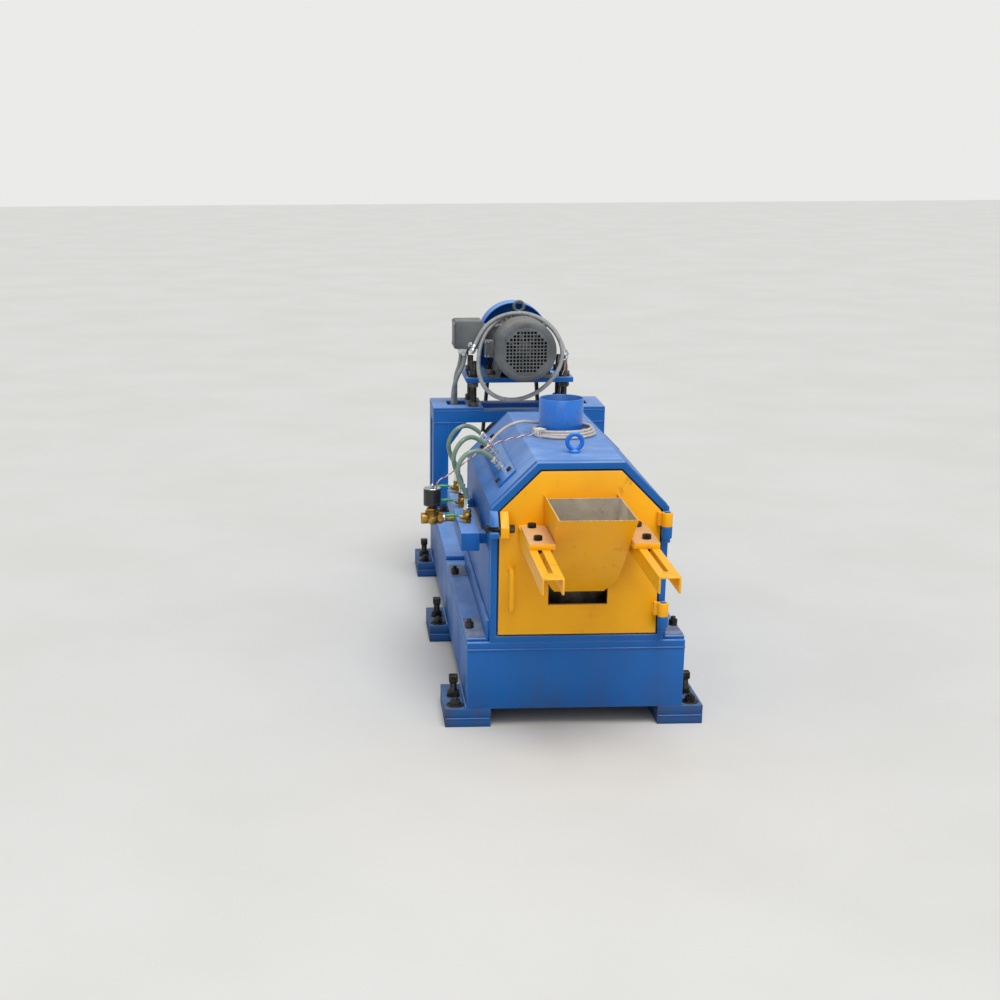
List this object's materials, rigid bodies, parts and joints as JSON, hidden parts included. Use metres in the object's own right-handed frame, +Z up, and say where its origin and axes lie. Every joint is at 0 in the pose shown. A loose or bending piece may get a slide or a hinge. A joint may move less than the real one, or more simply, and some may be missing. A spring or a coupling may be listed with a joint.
{
  "type": "machine",
  "caption": "Horizontal centrifugal casting machine: blue welded bed with covered mould, yellow hinged door with pouring hopper, belt drive and motor on a raised frame",
  "frame": {"origin": "On the floor, under the middle of the overall box; the bed's middle plane is 23 mm to the right of it", "axes": "+X to the right seen from the door, +Y from the door to the belt drive, +Z up"},
  "size_m": [0.75, 2.308, 0.9988],
  "materials": {
    "blue_paint": "satin shop paint over welded steel, chipped at edges",
    "motor_grey": "dull dark grey enamel over cast and pressed metal",
    "yellow_paint": "satin shop paint over plate",
    "grey_steel": "machined and rolled steel, dull",
    "dark_steel": "dark oxidised steel",
    "cast_pulley": "turned cast iron",
    "black_rubber": "plain rubber",
    "brass": "dull cast brass",
    "chrome": "bright plated fittings",
    "black_plastic": "moulded plastic",
    "grey_hose": "ribbed and braided flexible hose"
  },
  "bodies": {
    "machine": {"motor_body": "motor_grey", "fan_cowl": "motor_grey", "terminal_boxes": "motor_grey", "bed_top": "blue_paint", "bed_walls": "blue_paint", "pad_strips": "blue_paint", "cover_shell": "blue_paint", "cover_rim": "blue_paint", "cover_rear_plate": "blue_paint", "cover_angles": "blue_paint", "exhaust_collar": "blue_paint", "hinge_lower_halves": "blue_paint", "latch_fork": "blue_paint", "bearing_housing": "blue_paint", "bearing_caps": "blue_paint", "front_portal": "blue_paint", "rear_portal": "blue_paint", "frame_top_plates": "blue_paint", "frame_side_rails": "blue_paint", "cross_beam": "blue_paint", "motor_plate": "blue_paint", "belt_guard": "blue_paint", "manifold": "blue_paint", "spray_plate": "blue_paint", "sole_plates": "grey_steel", "foot_plates": "grey_steel", "fan_grille": "grey_steel", "levelling_screws": "dark_steel", "tension_screws": "dark_steel", "lifting_eyes": "dark_steel", "motor_eye": "dark_steel", "drive_belts": "black_rubber", "outlet_valves": "brass", "valve_body": "brass", "spray_fittings": "chrome", "valve_coil": "black_plastic", "valve_cable": "black_plastic", "cable_ring": "black_plastic", "cable_tail": "black_plastic", "front_hose": "grey_hose", "middle_hose": "grey_hose", "rear_hose": "grey_hose", "conduit_loop": "grey_hose", "front_conduit": "grey_hose", "rear_conduit": "grey_hose"},
    "door": {"door_plate": "yellow_paint", "hinge_upper_halves": "yellow_paint", "latch_lug": "yellow_paint", "latch_bolt": "dark_steel", "hopper": "yellow_paint", "door_channels": "yellow_paint", "hopper_lugs": "yellow_paint", "grab_handle": "yellow_paint"},
    "spindle": {"mould": "grey_steel", "spindle_shaft": "grey_steel", "spindle_pulley": "cast_pulley"},
    "motor_rotor": {"motor_rotor": "grey_steel", "motor_pulley": "cast_pulley"}
  },
  "joints": [
    {"name": "door_hinge", "type": "hinge", "parent": "machine", "child": "door", "pos_m": [0.2485, -0.66, 0.44], "axis": [0, 0, 1], "range_deg": [0, 110]},
    {"name": "spindle_spin", "type": "hinge", "parent": "machine", "child": "spindle", "pos_m": [0.023, 0.16, 0.43], "axis": [0, 1, 0], "continuous": true},
    {"name": "motor_spin", "type": "hinge", "parent": "machine", "child": "motor_rotor", "pos_m": [0.023, 0.96, 0.84], "axis": [0, 1, 0], "continuous": true}
  ],
  "couplings": [
    {"joint": "motor_spin", "follows": "spindle_spin", "ratio": 1.4305}
  ]
}
